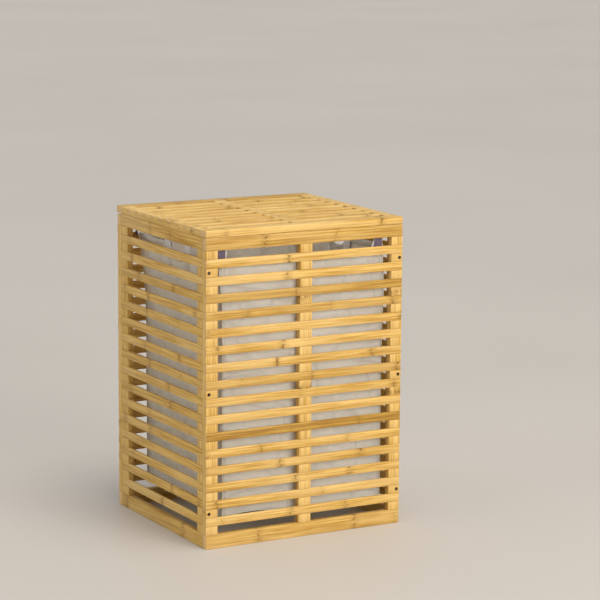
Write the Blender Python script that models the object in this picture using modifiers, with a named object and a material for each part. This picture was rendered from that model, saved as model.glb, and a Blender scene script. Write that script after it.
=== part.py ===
"""Slatted bamboo laundry hamper with a hinged lid and a hanging fabric liner.

Four slatted panels are screwed together as an upright box. The front and back
panels run the full width and cover the edges of the two side panels. The lid is
a fifth slatted panel on two small butt hinges, which lie in a narrow gap above
the back panel. The liner is an open bag that hangs inside from four corner
straps and stays clear of the floor.

Metres, +Z up, front facing -Y, origin on the floor under the middle of the lid.
"""
import math

import bmesh
import bpy
from mathutils import Matrix, Vector

# Overall size
WIDTH = 0.420
DEPTH = 0.383
HEIGHT = 0.600
FIT_GAP = 0.0003             # between pieces that touch
EDGE_EASE = 0.0007           # eased edge of every bamboo piece

# Panels
FACE_THICKNESS = 0.0145      # front and back panels
SIDE_THICKNESS = 0.0120
SLAT_THICKNESS = 0.0055
SLAT_HEIGHT = 0.0163
SLAT_COUNT = 16
TOP_RAIL_HEIGHT = 0.024
BOTTOM_RAIL_HEIGHT = 0.027
END_STILE_WIDTH = 0.024
MIDDLE_STILE_WIDTH = 0.026
SIDE_FRONT_STILE_WIDTH = 0.022
SIDE_BACK_STILE_WIDTH = 0.030

# Lid
LID_THICKNESS = 0.0135
LID_OVERHANG = 0.003         # past the back panel
LID_RAIL_WIDTH = 0.026
LID_SLAT_COUNT = 9
LID_SLAT_WIDTH = 0.0165

# Hinges
HINGE_SLOT = 0.0032          # height of the gap between back panel and lid
HINGE_LENGTH = 0.036
HINGE_LEAF_WIDTH = 0.0125
HINGE_LEAF_THICKNESS = 0.0008
HINGE_OFFSET = 0.130         # from the middle to each hinge
KNUCKLE_RADIUS = 0.0013
KNUCKLE_BORE = 0.00085
KNUCKLE_SINK = 0.00005       # leaf face inside the knuckle's outline
HINGE_TAB_ROOT = 0.0025      # how far a knuckle's tab runs into its leaf
KNUCKLE_SHARE = 0.46         # part of the hinge length taken by the middle knuckle
PIN_RADIUS = 0.00065
PIN_HEAD_RADIUS = 0.0011
PIN_HEAD_HEIGHT = 0.0004

# Screws that hold the front and back panels to the sides
SCREW_EDGE_DISTANCE = SIDE_THICKNESS / 2
SCREW_GAPS = (2, 9, 16)      # counted from the top, the gaps beside the screws
SCREW_LENGTH = 0.031
SCREW_SHANK_RADIUS = 0.0016
SCREW_HEAD_RADIUS = 0.0032
SCREW_HEAD_HEIGHT = 0.0020
SCREW_DRIVE_RADIUS = 0.0012
SCREW_DRIVE_DEPTH = 0.0010
SCREW_SINK = 0.0008          # head below the bamboo's face

# Liner
LINER_THICKNESS = 0.002
LINER_HALF_WIDTH = 0.176
LINER_FRONT_CLEARANCE = 0.003
LINER_BACK_CLEARANCE = 0.016
LINER_BOTTOM = 0.054
LINER_HEM = 0.545
LINER_CORNER_RADIUS = 0.006
STRAP_WIDTH = 0.016
STRAP_TOP = 0.577
STRAP_ROOT = 0.500
STRAP_INSET = 0.014          # from the liner's side to the strap's middle

# Places that follow from the sizes above
FRONT = -DEPTH / 2
LID_BACK = DEPTH / 2
BACK = LID_BACK - LID_OVERHANG
LID_UNDERSIDE = HEIGHT - LID_THICKNESS
BODY_TOP = LID_UNDERSIDE - FIT_GAP
BACK_PANEL_TOP = LID_UNDERSIDE - HINGE_SLOT
AXIS_Y = BACK + FIT_GAP + KNUCKLE_RADIUS
AXIS_Z = LID_UNDERSIDE - HINGE_SLOT / 2
LATTICE_BOTTOM = BOTTOM_RAIL_HEIGHT
LATTICE_TOP = BODY_TOP - TOP_RAIL_HEIGHT
SLAT_GAP = (LATTICE_TOP - LATTICE_BOTTOM - SLAT_COUNT * SLAT_HEIGHT) / (SLAT_COUNT + 1)
SLAT_PITCH = SLAT_HEIGHT + SLAT_GAP
LID_SLAT_GAP = (DEPTH - 2 * LID_RAIL_WIDTH - LID_SLAT_COUNT * LID_SLAT_WIDTH) / (LID_SLAT_COUNT + 1)
LID_SLAT_PITCH = LID_SLAT_WIDTH + LID_SLAT_GAP
CUT_MARGIN = 0.010           # how far a cutter reaches past the piece it cuts

for leftover in list(bpy.data.objects):
    bpy.data.objects.remove(leftover)

parts = bpy.data.collections.new("laundry_hamper")
cutters = bpy.data.collections.new("cutters")
bpy.context.scene.collection.children.link(parts)
bpy.context.scene.collection.children.link(cutters)


def make_material(name, colour, roughness, metallic=0.0):
    material = bpy.data.materials.new(name)
    material.use_nodes = True
    shader = material.node_tree.nodes["Principled BSDF"]
    shader.inputs["Base Color"].default_value = (*colour, 1.0)
    shader.inputs["Roughness"].default_value = roughness
    shader.inputs["Metallic"].default_value = metallic
    return material


BAMBOO = make_material("bamboo", (0.72, 0.44, 0.15), 0.45)
DARK_BAMBOO = make_material("dark_bamboo", (0.58, 0.33, 0.09), 0.45)
STEEL = make_material("screw_steel", (0.16, 0.14, 0.12), 0.35, 1.0)
BRASS = make_material("hinge_brass", (0.70, 0.52, 0.25), 0.30, 1.0)
COTTON = make_material("liner_cotton", (0.78, 0.76, 0.72), 0.90)


def box_mesh(name, low, high):
    """Mesh of a box centred on its own origin, and where that origin goes."""
    low, high = Vector(low), Vector(high)
    mesh = bpy.data.meshes.new(name)
    shape = bmesh.new()
    bmesh.ops.create_cube(shape, size=1.0)
    bmesh.ops.scale(shape, vec=high - low, verts=shape.verts)
    shape.to_mesh(mesh)
    shape.free()
    return mesh, (low + high) / 2


def add_part(name, mesh, place, material):
    mesh.materials.append(material)
    part = bpy.data.objects.new(name, mesh)
    part.location = place
    parts.objects.link(part)
    return part


def add_cutter(name, mesh, place):
    cutter = bpy.data.objects.new(name, mesh)
    cutter.location = place
    cutter.hide_render = True
    cutter.display_type = "WIRE"
    cutters.objects.link(cutter)
    return cutter


def ease_edges(part, width=EDGE_EASE):
    bevel = part.modifiers.new("eased_edges", "BEVEL")
    bevel.width = width
    bevel.segments = 1
    bevel.limit_method = "ANGLE"


def bamboo_piece(name, low, high, material=BAMBOO):
    mesh, place = box_mesh(name, low, high)
    piece = add_part(name, mesh, place, material)
    ease_edges(piece)
    return piece


def box_cutter(name, low, high):
    mesh, place = box_mesh(name, low, high)
    return add_cutter(name, mesh, place)


def repeat(cutter, count, step):
    array = cutter.modifiers.new("row", "ARRAY")
    array.count = count
    array.use_relative_offset = False
    array.use_constant_offset = True
    array.constant_offset_displace = step


def cut(part, cutter):
    boolean = part.modifiers.new(cutter.name, "BOOLEAN")
    boolean.operation = "DIFFERENCE"
    boolean.solver = "EXACT"
    boolean.object = cutter


def join(part, addition):
    boolean = part.modifiers.new(addition.name, "BOOLEAN")
    boolean.operation = "UNION"
    boolean.solver = "EXACT"
    boolean.object = addition


def gap_centre(number):
    """Height of the middle of a gap, counted from the top."""
    return LATTICE_TOP - SLAT_GAP / 2 - (number - 1) * SLAT_PITCH


def slat_base(number):
    """Height of a slat's lower edge, counted from the top."""
    return LATTICE_TOP - number * SLAT_PITCH


# Screws ------------------------------------------------------------------

def rod_cutter(name, radius, start_y, end_y, x, z):
    """Round cutter lying along Y."""
    mesh = bpy.data.meshes.new(name)
    shape = bmesh.new()
    bmesh.ops.create_cone(shape, cap_ends=True, segments=16, radius1=radius, radius2=radius,
                          depth=abs(end_y - start_y))
    bmesh.ops.rotate(shape, matrix=Matrix.Rotation(math.pi / 2, 3, "X"), verts=shape.verts)
    shape.to_mesh(mesh)
    shape.free()
    return add_cutter(name, mesh, (x, (start_y + end_y) / 2, z))


def screw_hole(name, face_y, inward, x, z):
    """The shank's bore through both panels, and the counterbore for the head."""
    hole_end = face_y + inward * (SCREW_SINK + SCREW_LENGTH + FIT_GAP)
    head_end = face_y + inward * (SCREW_SINK + SCREW_HEAD_HEIGHT + FIT_GAP)
    outside = face_y - inward * CUT_MARGIN
    bore = rod_cutter(name + "_bore", SCREW_SHANK_RADIUS + FIT_GAP, outside, hole_end, x, z)
    seat = rod_cutter(name + "_seat", SCREW_HEAD_RADIUS + FIT_GAP, outside, head_end, x, z)
    return bore, seat


def turned_mesh(name, profile):
    """Open outline from the top of the turning axis to its bottom, for a Screw modifier."""
    mesh = bpy.data.meshes.new(name)
    points = [(radius, 0.0, height) for radius, height in profile]
    edges = [(index, index + 1) for index in range(len(points) - 1)]
    mesh.from_pydata(points, edges, [])
    return mesh


def turn(part, steps):
    screw = part.modifiers.new("turned", "SCREW")
    screw.steps = steps
    screw.render_steps = steps
    screw.use_merge_vertices = True
    screw.merge_threshold = 0.00002
    screw.use_smooth_shade = False


def add_screw(name, face_y, inward, x, z):
    """Dark screw, its head just below the panel's face, its point in the side panel."""
    profile = [
        (0.0, -SCREW_DRIVE_DEPTH),
        (SCREW_DRIVE_RADIUS, 0.0),
        (SCREW_HEAD_RADIUS * 0.85, 0.0),
        (SCREW_HEAD_RADIUS, -SCREW_HEAD_HEIGHT * 0.3),
        (SCREW_HEAD_RADIUS, -SCREW_HEAD_HEIGHT),
        (SCREW_SHANK_RADIUS, -SCREW_HEAD_HEIGHT),
        (SCREW_SHANK_RADIUS, -SCREW_LENGTH * 0.88),
        (0.0, -SCREW_LENGTH),
    ]
    place = (x, face_y + inward * SCREW_SINK, z)
    screw = add_part(name, turned_mesh(name, profile), place, STEEL)
    screw.rotation_euler = (inward * math.pi / 2, 0.0, 0.0)
    turn(screw, 16)


SIDES = (("left", -1), ("right", 1))
SCREW_X = WIDTH / 2 - SCREW_EDGE_DISTANCE
screw_cutters = {"front": {}, "back": {}}
for face, face_y, inward in (("front", FRONT, 1), ("back", BACK, -1)):
    for side, sign in SIDES:
        holes = []
        for place, gap in zip(("top", "middle", "bottom"), SCREW_GAPS):
            screw_name = f"{face}_screw_{side}_{place}"
            spot = (sign * SCREW_X, gap_centre(gap))
            add_screw(screw_name, face_y, inward, *spot)
            holes.append(screw_hole(screw_name, face_y, inward, *spot))
        screw_cutters[face][side] = holes


# Front panel: rails, stiles and slats, each its own piece -------------------

FRONT_INNER = FRONT + FACE_THICKNESS
HALF_WIDTH = WIDTH / 2

bamboo_piece("front_top_rail", (-HALF_WIDTH, FRONT, LATTICE_TOP), (HALF_WIDTH, FRONT_INNER, BODY_TOP))
bamboo_piece("front_bottom_rail", (-HALF_WIDTH, FRONT, 0.0), (HALF_WIDTH, FRONT_INNER, BOTTOM_RAIL_HEIGHT))

slat_notches = box_cutter(
    "front_slat_notches",
    (-HALF_WIDTH - CUT_MARGIN, FRONT - CUT_MARGIN, slat_base(SLAT_COUNT) - FIT_GAP),
    (HALF_WIDTH + CUT_MARGIN, FRONT + SLAT_THICKNESS + FIT_GAP, slat_base(SLAT_COUNT) + SLAT_HEIGHT + FIT_GAP))
repeat(slat_notches, SLAT_COUNT, (0.0, 0.0, SLAT_PITCH))

front_stile_spans = {
    "left": (-HALF_WIDTH, -HALF_WIDTH + END_STILE_WIDTH),
    "middle": (-MIDDLE_STILE_WIDTH / 2, MIDDLE_STILE_WIDTH / 2),
    "right": (HALF_WIDTH - END_STILE_WIDTH, HALF_WIDTH),
}
for side, (start, end) in front_stile_spans.items():
    stile = bamboo_piece(f"front_{side}_stile", (start, FRONT, LATTICE_BOTTOM + FIT_GAP),
                         (end, FRONT_INNER, LATTICE_TOP - FIT_GAP))
    cut(stile, slat_notches)
    for bore, seat in screw_cutters["front"].get(side, []):
        cut(stile, bore)
        cut(stile, seat)

DARK_SLATS = (3, 4, 11)
for number in range(1, SLAT_COUNT + 1):
    tone = DARK_BAMBOO if number in DARK_SLATS else BAMBOO
    bamboo_piece(f"front_slat_{number:02d}", (-HALF_WIDTH, FRONT, slat_base(number)),
                 (HALF_WIDTH, FRONT + SLAT_THICKNESS, slat_base(number) + SLAT_HEIGHT), tone)


# Back and side panels: each glued up into one solid ------------------------

def cut_lattice(panel, low, high, thickness_axis, outer, inner, openings):
    """Leave slats at the panel's outer face and stiles at its full thickness.

    openings are the clear stretches between stiles, along the panel's length.
    """
    length_axis = 1 - thickness_axis
    inward = 1 if inner > outer else -1
    slat_back = outer + inward * SLAT_THICKNESS
    for index, (start, end) in enumerate(openings):
        def corners(depth_a, depth_b, bottom, top):
            first, second = [0.0, 0.0, bottom], [0.0, 0.0, top]
            first[length_axis], second[length_axis] = start, end
            first[thickness_axis], second[thickness_axis] = sorted((depth_a, depth_b))
            return first, second
        outside = outer - inward * CUT_MARGIN
        inside = inner + inward * CUT_MARGIN
        pocket = box_cutter(f"{panel.name}_pocket_{index}", *corners(slat_back, inside, low, high))
        window = box_cutter(f"{panel.name}_windows_{index}", *corners(outside, inside, low, low + SLAT_GAP))
        repeat(window, SLAT_COUNT + 1, (0.0, 0.0, SLAT_PITCH))
        cut(panel, pocket)
        cut(panel, window)


back_panel = bamboo_piece("back_panel", (-HALF_WIDTH, BACK - FACE_THICKNESS, 0.0),
                          (HALF_WIDTH, BACK, BACK_PANEL_TOP))
half_opening = (MIDDLE_STILE_WIDTH / 2, HALF_WIDTH - END_STILE_WIDTH)
cut_lattice(back_panel, LATTICE_BOTTOM, LATTICE_TOP, 1, BACK, BACK - FACE_THICKNESS,
            [(-half_opening[1], -half_opening[0]), half_opening])
for side, sign in SIDES:
    for bore, seat in screw_cutters["back"][side]:
        cut(back_panel, bore)
        cut(back_panel, seat)

SIDE_START = FRONT_INNER + FIT_GAP
SIDE_END = BACK - FACE_THICKNESS - FIT_GAP
for side, sign in SIDES:
    outer, inner = sign * HALF_WIDTH, sign * (HALF_WIDTH - SIDE_THICKNESS)
    side_panel = bamboo_piece(f"{side}_side_panel", (min(outer, inner), SIDE_START, 0.0),
                              (max(outer, inner), SIDE_END, BODY_TOP))
    opening = (SIDE_START + SIDE_FRONT_STILE_WIDTH, SIDE_END - SIDE_BACK_STILE_WIDTH)
    cut_lattice(side_panel, LATTICE_BOTTOM, LATTICE_TOP, 0, outer, inner, [opening])
    for face in ("front", "back"):
        for bore, seat in screw_cutters[face][side]:
            cut(side_panel, bore)


# Liner: an open bag with four corner straps --------------------------------

LINER_FRONT = FRONT_INNER + LINER_FRONT_CLEARANCE
LINER_BACK = BACK - FACE_THICKNESS - LINER_BACK_CLEARANCE


def add_liner():
    mesh, place = box_mesh("liner_bag", (-LINER_HALF_WIDTH, LINER_FRONT, LINER_BOTTOM),
                           (LINER_HALF_WIDTH, LINER_BACK, LINER_HEM))
    shape = bmesh.new()
    shape.from_mesh(mesh)
    top = [face for face in shape.faces if face.normal.z > 0.5]
    bmesh.ops.delete(shape, geom=top, context="FACES_ONLY")
    upright = [edge for edge in shape.edges
               if abs(edge.verts[0].co.z - edge.verts[1].co.z) > LINER_THICKNESS]
    bmesh.ops.bevel(shape, geom=upright, offset=LINER_CORNER_RADIUS, segments=2, affect="EDGES", profile=0.5)
    shape.to_mesh(mesh)
    shape.free()
    liner = add_part("liner_bag", mesh, place, COTTON)
    shell = liner.modifiers.new("cloth_thickness", "SOLIDIFY")
    shell.thickness = LINER_THICKNESS
    shell.offset = -1.0
    for side, sign in SIDES:
        for face, wall in (("front", LINER_FRONT), ("back", LINER_BACK - LINER_THICKNESS)):
            centre = sign * (LINER_HALF_WIDTH - STRAP_INSET)
            strap = box_cutter(f"liner_strap_{face}_{side}",
                               (centre - STRAP_WIDTH / 2, wall + FIT_GAP, STRAP_ROOT),
                               (centre + STRAP_WIDTH / 2, wall + LINER_THICKNESS - FIT_GAP, STRAP_TOP))
            join(liner, strap)


add_liner()


# Lid: a fifth slatted panel, parented to the hinge axis --------------------

lid_axis = bpy.data.objects.new("lid_hinge_axis", None)
lid_axis.location = (0.0, AXIS_Y, AXIS_Z)
parts.objects.link(lid_axis)


def hang_on_axis(piece):
    piece.parent = lid_axis
    piece.matrix_parent_inverse = Matrix.Translation(-lid_axis.location)


def lid_slat_front(number):
    """Front edge of a lid slat, counted from the front."""
    return FRONT + LID_RAIL_WIDTH + LID_SLAT_GAP + (number - 1) * LID_SLAT_PITCH


lid_pieces = [
    bamboo_piece("lid_front_rail", (-HALF_WIDTH, FRONT, LID_UNDERSIDE),
                 (HALF_WIDTH, FRONT + LID_RAIL_WIDTH, HEIGHT)),
    bamboo_piece("lid_back_rail", (-HALF_WIDTH, LID_BACK - LID_RAIL_WIDTH, LID_UNDERSIDE),
                 (HALF_WIDTH, LID_BACK, HEIGHT)),
]
lid_notches = box_cutter(
    "lid_slat_notches",
    (-HALF_WIDTH - CUT_MARGIN, lid_slat_front(1) - FIT_GAP, HEIGHT - SLAT_THICKNESS - FIT_GAP),
    (HALF_WIDTH + CUT_MARGIN, lid_slat_front(1) + LID_SLAT_WIDTH + FIT_GAP, HEIGHT + CUT_MARGIN))
repeat(lid_notches, LID_SLAT_COUNT, (0.0, LID_SLAT_PITCH, 0.0))
for side, (start, end) in front_stile_spans.items():
    stile = bamboo_piece(f"lid_{side}_stile", (start, FRONT + LID_RAIL_WIDTH + FIT_GAP, LID_UNDERSIDE),
                         (end, LID_BACK - LID_RAIL_WIDTH - FIT_GAP, HEIGHT))
    cut(stile, lid_notches)
    lid_pieces.append(stile)
for number in range(1, LID_SLAT_COUNT + 1):
    front_edge = lid_slat_front(number)
    lid_pieces.append(bamboo_piece(f"lid_slat_{number}", (-HALF_WIDTH, front_edge, HEIGHT - SLAT_THICKNESS),
                                   (HALF_WIDTH, front_edge + LID_SLAT_WIDTH, HEIGHT)))
for piece in lid_pieces:
    hang_on_axis(piece)


# Hinges: two leaves with rolled knuckles, and a pin -------------------------

def knuckle_rod(name, radius, start_x, end_x):
    """Round bar lying along the hinge axis."""
    mesh = bpy.data.meshes.new(name)
    shape = bmesh.new()
    bmesh.ops.create_cone(shape, cap_ends=True, segments=20, radius1=radius, radius2=radius,
                          depth=end_x - start_x)
    bmesh.ops.rotate(shape, matrix=Matrix.Rotation(math.pi / 2, 3, "Y"), verts=shape.verts)
    shape.to_mesh(mesh)
    shape.free()
    return add_cutter(name, mesh, ((start_x + end_x) / 2, AXIS_Y, AXIS_Z))


def add_leaf(name, centre_x, above, spans):
    """Flat leaf with a tab and a knuckle at each of its spans along the pin."""
    reach = KNUCKLE_RADIUS - KNUCKLE_SINK
    if above:
        bottom, top = AXIS_Z + reach - HINGE_LEAF_THICKNESS, AXIS_Z + reach
    else:
        bottom, top = AXIS_Z - reach, AXIS_Z - reach + HINGE_LEAF_THICKNESS
    plate_end = AXIS_Y - KNUCKLE_RADIUS - FIT_GAP
    mesh, place = box_mesh(name, (centre_x - HINGE_LENGTH / 2, plate_end - HINGE_LEAF_WIDTH, bottom),
                           (centre_x + HINGE_LENGTH / 2, plate_end, top))
    leaf = add_part(name, mesh, place, BRASS)
    for index, (start, end) in enumerate(spans):
        tab = box_cutter(f"{name}_tab_{index}",
                         (centre_x + start, plate_end - HINGE_TAB_ROOT, bottom),
                         (centre_x + end, AXIS_Y, top))
        knuckle = knuckle_rod(f"{name}_knuckle_{index}", KNUCKLE_RADIUS, centre_x + start, centre_x + end)
        join(leaf, tab)
        join(leaf, knuckle)
    bore = knuckle_rod(f"{name}_bore", KNUCKLE_BORE, centre_x - HINGE_LENGTH, centre_x + HINGE_LENGTH)
    cut(leaf, bore)
    return leaf


def add_pin(name, centre_x):
    half = HINGE_LENGTH / 2 + FIT_GAP
    profile = [
        (0.0, half + PIN_HEAD_HEIGHT),
        (PIN_HEAD_RADIUS * 0.8, half + PIN_HEAD_HEIGHT),
        (PIN_HEAD_RADIUS, half),
        (PIN_RADIUS, half),
        (PIN_RADIUS, -half),
        (0.0, -half - PIN_HEAD_HEIGHT),
    ]
    pin = add_part(name, turned_mesh(name, profile), (centre_x, AXIS_Y, AXIS_Z), STEEL)
    pin.rotation_euler = (0.0, math.pi / 2, 0.0)
    turn(pin, 16)


middle_half = HINGE_LENGTH * KNUCKLE_SHARE / 2
outer_spans = [(-HINGE_LENGTH / 2, -middle_half - FIT_GAP), (middle_half + FIT_GAP, HINGE_LENGTH / 2)]
for side, sign in SIDES:
    centre_x = sign * HINGE_OFFSET
    add_leaf(f"hinge_{side}_panel_leaf", centre_x, False, outer_spans)
    lid_leaf = add_leaf(f"hinge_{side}_lid_leaf", centre_x, True, [(-middle_half, middle_half)])
    hang_on_axis(lid_leaf)
    add_pin(f"hinge_{side}_pin", centre_x)
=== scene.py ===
"""The looks of the slatted bamboo laundry hamper: bamboo strips, hung cotton liner, hardware, studio."""
import math
import random

import bmesh
import bpy
import numpy as np
from mathutils import Matrix, Vector, noise


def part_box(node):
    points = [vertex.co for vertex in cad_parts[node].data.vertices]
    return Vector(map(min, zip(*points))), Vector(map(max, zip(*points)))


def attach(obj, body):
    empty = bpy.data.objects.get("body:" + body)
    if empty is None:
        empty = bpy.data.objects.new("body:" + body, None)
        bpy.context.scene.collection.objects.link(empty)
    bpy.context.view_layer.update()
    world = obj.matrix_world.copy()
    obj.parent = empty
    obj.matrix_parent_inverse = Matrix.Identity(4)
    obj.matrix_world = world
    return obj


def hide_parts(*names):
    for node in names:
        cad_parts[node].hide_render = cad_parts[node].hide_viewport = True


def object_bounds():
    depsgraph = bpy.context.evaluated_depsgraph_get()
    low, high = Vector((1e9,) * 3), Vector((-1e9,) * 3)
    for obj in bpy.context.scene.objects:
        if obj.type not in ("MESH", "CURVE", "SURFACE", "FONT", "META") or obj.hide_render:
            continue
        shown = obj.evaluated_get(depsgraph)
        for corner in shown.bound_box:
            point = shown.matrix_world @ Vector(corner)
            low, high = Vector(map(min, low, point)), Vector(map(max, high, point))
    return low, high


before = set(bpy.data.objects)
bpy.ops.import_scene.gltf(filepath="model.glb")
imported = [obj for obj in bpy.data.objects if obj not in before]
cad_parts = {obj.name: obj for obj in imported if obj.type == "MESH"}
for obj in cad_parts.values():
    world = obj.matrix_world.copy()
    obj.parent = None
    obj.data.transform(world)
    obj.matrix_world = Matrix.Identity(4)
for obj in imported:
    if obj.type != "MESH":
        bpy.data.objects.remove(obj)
cad_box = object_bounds()

BODY, LID = "hamper", "lid"

X, Y, Z = 0, 1, 2

# ---------------------------------------------------------------------------
# Counts and widths that no box in the frame gives
# ---------------------------------------------------------------------------
SLAT_COUNT = 16
LID_SLAT_COUNT = 9
SIDE_FRONT_STILE = 0.022
SIDE_BACK_STILE = 0.030
NOTCH_SLACK = 0.00015        # round a slat let into a stile
LEVELS = ("top", "middle", "bottom")     # of the screws in a stile

# ---------------------------------------------------------------------------
# Places read from the frame
# ---------------------------------------------------------------------------
top_rail_low, top_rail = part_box("front_top_rail")
HALF = top_rail.x
FRONT, FRONT_INNER = top_rail_low.y, top_rail.y
RAIL_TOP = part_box("front_bottom_rail")[1].z
LATTICE_TOP = top_rail_low.z
BODY_TOP = top_rail.z
slat_low, slat_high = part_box("front_slat_01")
SLAT_DEPTH = slat_high.y - slat_low.y
SLAT_LEVELS = [(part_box(f"front_slat_{n:02d}")[0].z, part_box(f"front_slat_{n:02d}")[1].z)
               for n in range(1, SLAT_COUNT + 1)]
back_low, back_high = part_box("back_panel")
BACK, BACK_INNER, BACK_TOP = back_high.y, back_low.y, back_high.z
side_low, side_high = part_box("left_side_panel")
SIDE_INNER = -side_high.x
SIDE_START, SIDE_END = side_low.y, side_high.y
liner_low, liner_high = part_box("liner_bag")
LID_UNDERSIDE, LID_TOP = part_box("lid_front_rail")[0].z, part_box("lid_front_rail")[1].z


# ---------------------------------------------------------------------------
# Objects and meshes
# ---------------------------------------------------------------------------
def new_object(name, data):
    """An object of the given data, in the scene."""
    made = bpy.data.objects.new(name, data)
    bpy.context.scene.collection.objects.link(made)
    return made


def finished(name, shape):
    """The shape as a mesh. The shape is used up."""
    mesh = bpy.data.meshes.new(name)
    shape.to_mesh(mesh)
    shape.free()
    return mesh


def applied(piece):
    """The piece's mesh with its modifiers applied."""
    depsgraph = bpy.context.evaluated_depsgraph_get()
    return bpy.data.meshes.new_from_object(piece.evaluated_get(depsgraph), depsgraph=depsgraph)


# ---------------------------------------------------------------------------
# Shader graphs
# ---------------------------------------------------------------------------
class Graph:
    """A material's node tree, with a short call for each kind of node."""

    def __init__(self, name):
        self.material = bpy.data.materials.new(name)
        self.material.use_nodes = True
        self.tree = self.material.node_tree
        self.shader = self.tree.nodes["Principled BSDF"]

    def feed(self, socket, value):
        if isinstance(value, bpy.types.NodeSocket):
            self.tree.links.new(value, socket)
        else:
            socket.default_value = value

    def node(self, kind, inputs=(), output=0, **settings):
        made = self.tree.nodes.new(kind)
        for key, value in settings.items():
            setattr(made, key, value)
        for key, value in dict(inputs).items():
            self.feed(made.inputs[key], value)
        return made.outputs[output]

    def attribute(self, name, output):
        return self.node("ShaderNodeAttribute", output=output, attribute_name=name)

    def math(self, operation, *values, clamp=False):
        return self.node("ShaderNodeMath", dict(enumerate(values)), operation=operation, use_clamp=clamp)

    def scaled(self, vector, factors):
        return self.node("ShaderNodeVectorMath", {0: vector, 1: factors}, operation="MULTIPLY")

    def noise(self, vector, scale=1.0, detail=2.0, roughness=0.5):
        inputs = {"Vector": vector, "Scale": scale, "Detail": detail, "Roughness": roughness}
        return self.node("ShaderNodeTexNoise", inputs)

    def band(self, value, low, high, out_low=0.0, out_high=1.0):
        inputs = {"Value": value, "From Min": low, "From Max": high, "To Min": out_low, "To Max": out_high}
        return self.node("ShaderNodeMapRange", inputs, clamp=True)

    def mix(self, factor, first, second, blend="MIX"):
        made = self.tree.nodes.new("ShaderNodeMix")
        made.data_type = "RGBA"
        made.blend_type = blend
        for socket, value in ((made.inputs[0], factor), (made.inputs[6], first), (made.inputs[7], second)):
            self.feed(socket, (*value, 1.0) if isinstance(value, tuple) else value)
        return made.outputs[2]

    def bump(self, height, strength, distance):
        made = self.node("ShaderNodeBump", {"Height": height, "Strength": strength, "Distance": distance})
        self.feed(self.shader.inputs["Normal"], made)

    def set(self, **inputs):
        for key, value in inputs.items():
            socket = self.shader.inputs[key.replace("_", " ")]
            self.feed(socket, (*value, 1.0) if isinstance(value, tuple) and len(value) == 3 else value)


PALE, PALE_STREAK = (0.840, 0.545, 0.165), (0.530, 0.280, 0.042)
BROWN, BROWN_STREAK = (0.560, 0.320, 0.052), (0.310, 0.145, 0.016)
FIBRE, PATCH = (0.470, 0.235, 0.040), (0.860, 0.590, 0.230)
JOINT_STAIN, JOINT_SCAR = (0.360, 0.185, 0.030), (0.120, 0.055, 0.012)
END_PORE, END_WALL = (0.500, 0.310, 0.115), (0.720, 0.470, 0.200)
JOINT_SPACING = 0.17         # stretch of strip that holds one joint mark
JOINT_WAVER = 0.110          # how far a joint mark wavers, as a share of its stretch


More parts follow.
